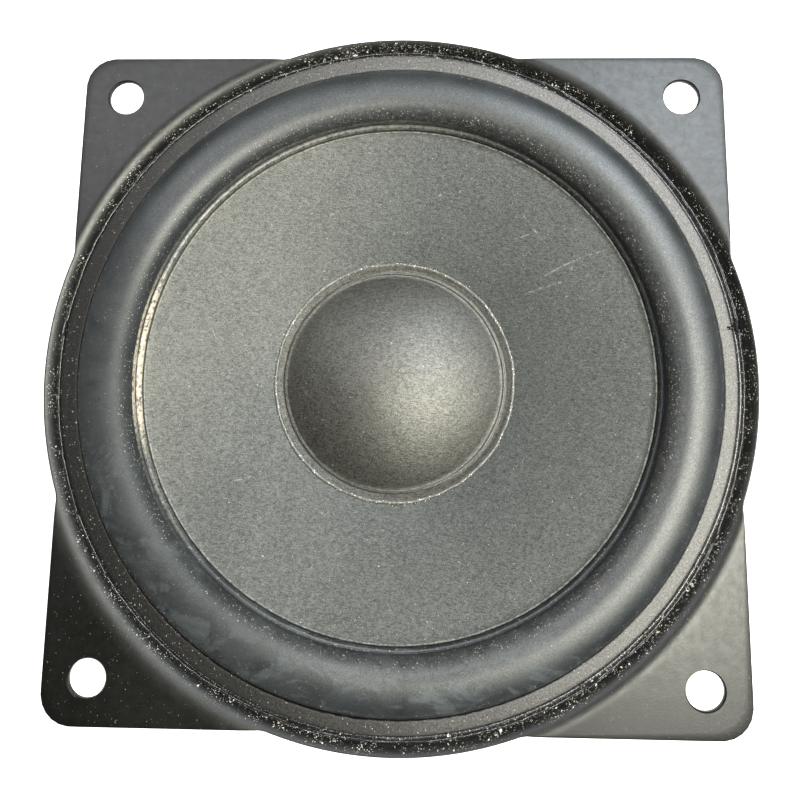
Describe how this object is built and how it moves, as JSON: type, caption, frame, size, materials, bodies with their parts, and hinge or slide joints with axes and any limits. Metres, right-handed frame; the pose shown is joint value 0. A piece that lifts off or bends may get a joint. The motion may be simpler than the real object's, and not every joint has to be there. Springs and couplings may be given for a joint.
{
  "type": "loudspeaker driver",
  "caption": "Shallow cone loudspeaker driver with a square flange, rubber surround, domed dust cap, pressed steel basket and ring magnet motor.",
  "frame": {"origin": "on the cone's axis, in the plane of the flange's front face", "axes": "+Z along the axis towards the listener; +X and +Y along the flange's sides, with the terminals on the -Y side"},
  "size_m": [0.1384, 0.1384, 0.0604],
  "materials": {
    "painted_steel": "satin",
    "gasket_board": "matte",
    "black_adhesive": "gloss",
    "surround_rubber": "satin",
    "cone_paper": "matte",
    "cap_paper": "matte",
    "clear_adhesive": "gloss",
    "former_film": "satin",
    "coil_wire": "satin",
    "kraft_paper": "matte",
    "spider_cloth": "matte",
    "plated_steel": "satin",
    "ferrite": "matte",
    "screen_mesh": "matte",
    "rivet_metal": "satin",
    "fibre_board": "satin",
    "tinned_brass": "satin",
    "solder": "satin",
    "tinsel_braid": "satin"
  },
  "bodies": {
    "basket": {"basket": "painted_steel", "gasket_ring": "gasket_board", "gasket_glue": "black_adhesive", "top_plate": "plated_steel", "magnet": "ferrite", "back_plate": "plated_steel", "pole_piece": "plated_steel", "vent_screen": "screen_mesh", "top_plate_rivets": "rivet_metal", "terminal_board": "fibre_board", "board_rivets": "rivet_metal", "terminal_positive": "tinned_brass", "terminal_negative": "tinned_brass", "terminal_rivets": "rivet_metal", "solder_positive": "solder", "solder_negative": "solder"},
    "cone": {"cone": "cone_paper", "surround": "surround_rubber", "dust_cap": "cap_paper", "dust_cap_glue": "clear_adhesive", "voice_coil_former": "former_film", "voice_coil_winding": "coil_wire", "former_collar": "kraft_paper", "coil_lead_positive": "coil_wire", "coil_lead_negative": "coil_wire", "cone_neck_glue": "black_adhesive", "spider": "spider_cloth", "spider_neck_glue": "black_adhesive", "lead_positive": "tinsel_braid", "lead_negative": "tinsel_braid", "lead_anchor_positive": "black_adhesive", "lead_anchor_negative": "black_adhesive"}
  },
  "joints": [
    {"name": "cone_stroke", "type": "slide", "parent": "basket", "child": "cone", "axis": [0, 0, 1], "range_m": [-0.005, 0.005], "stiffness_N_per_m": 1600, "deforming": ["surround", "spider", "lead_positive", "lead_negative"]}
  ]
}
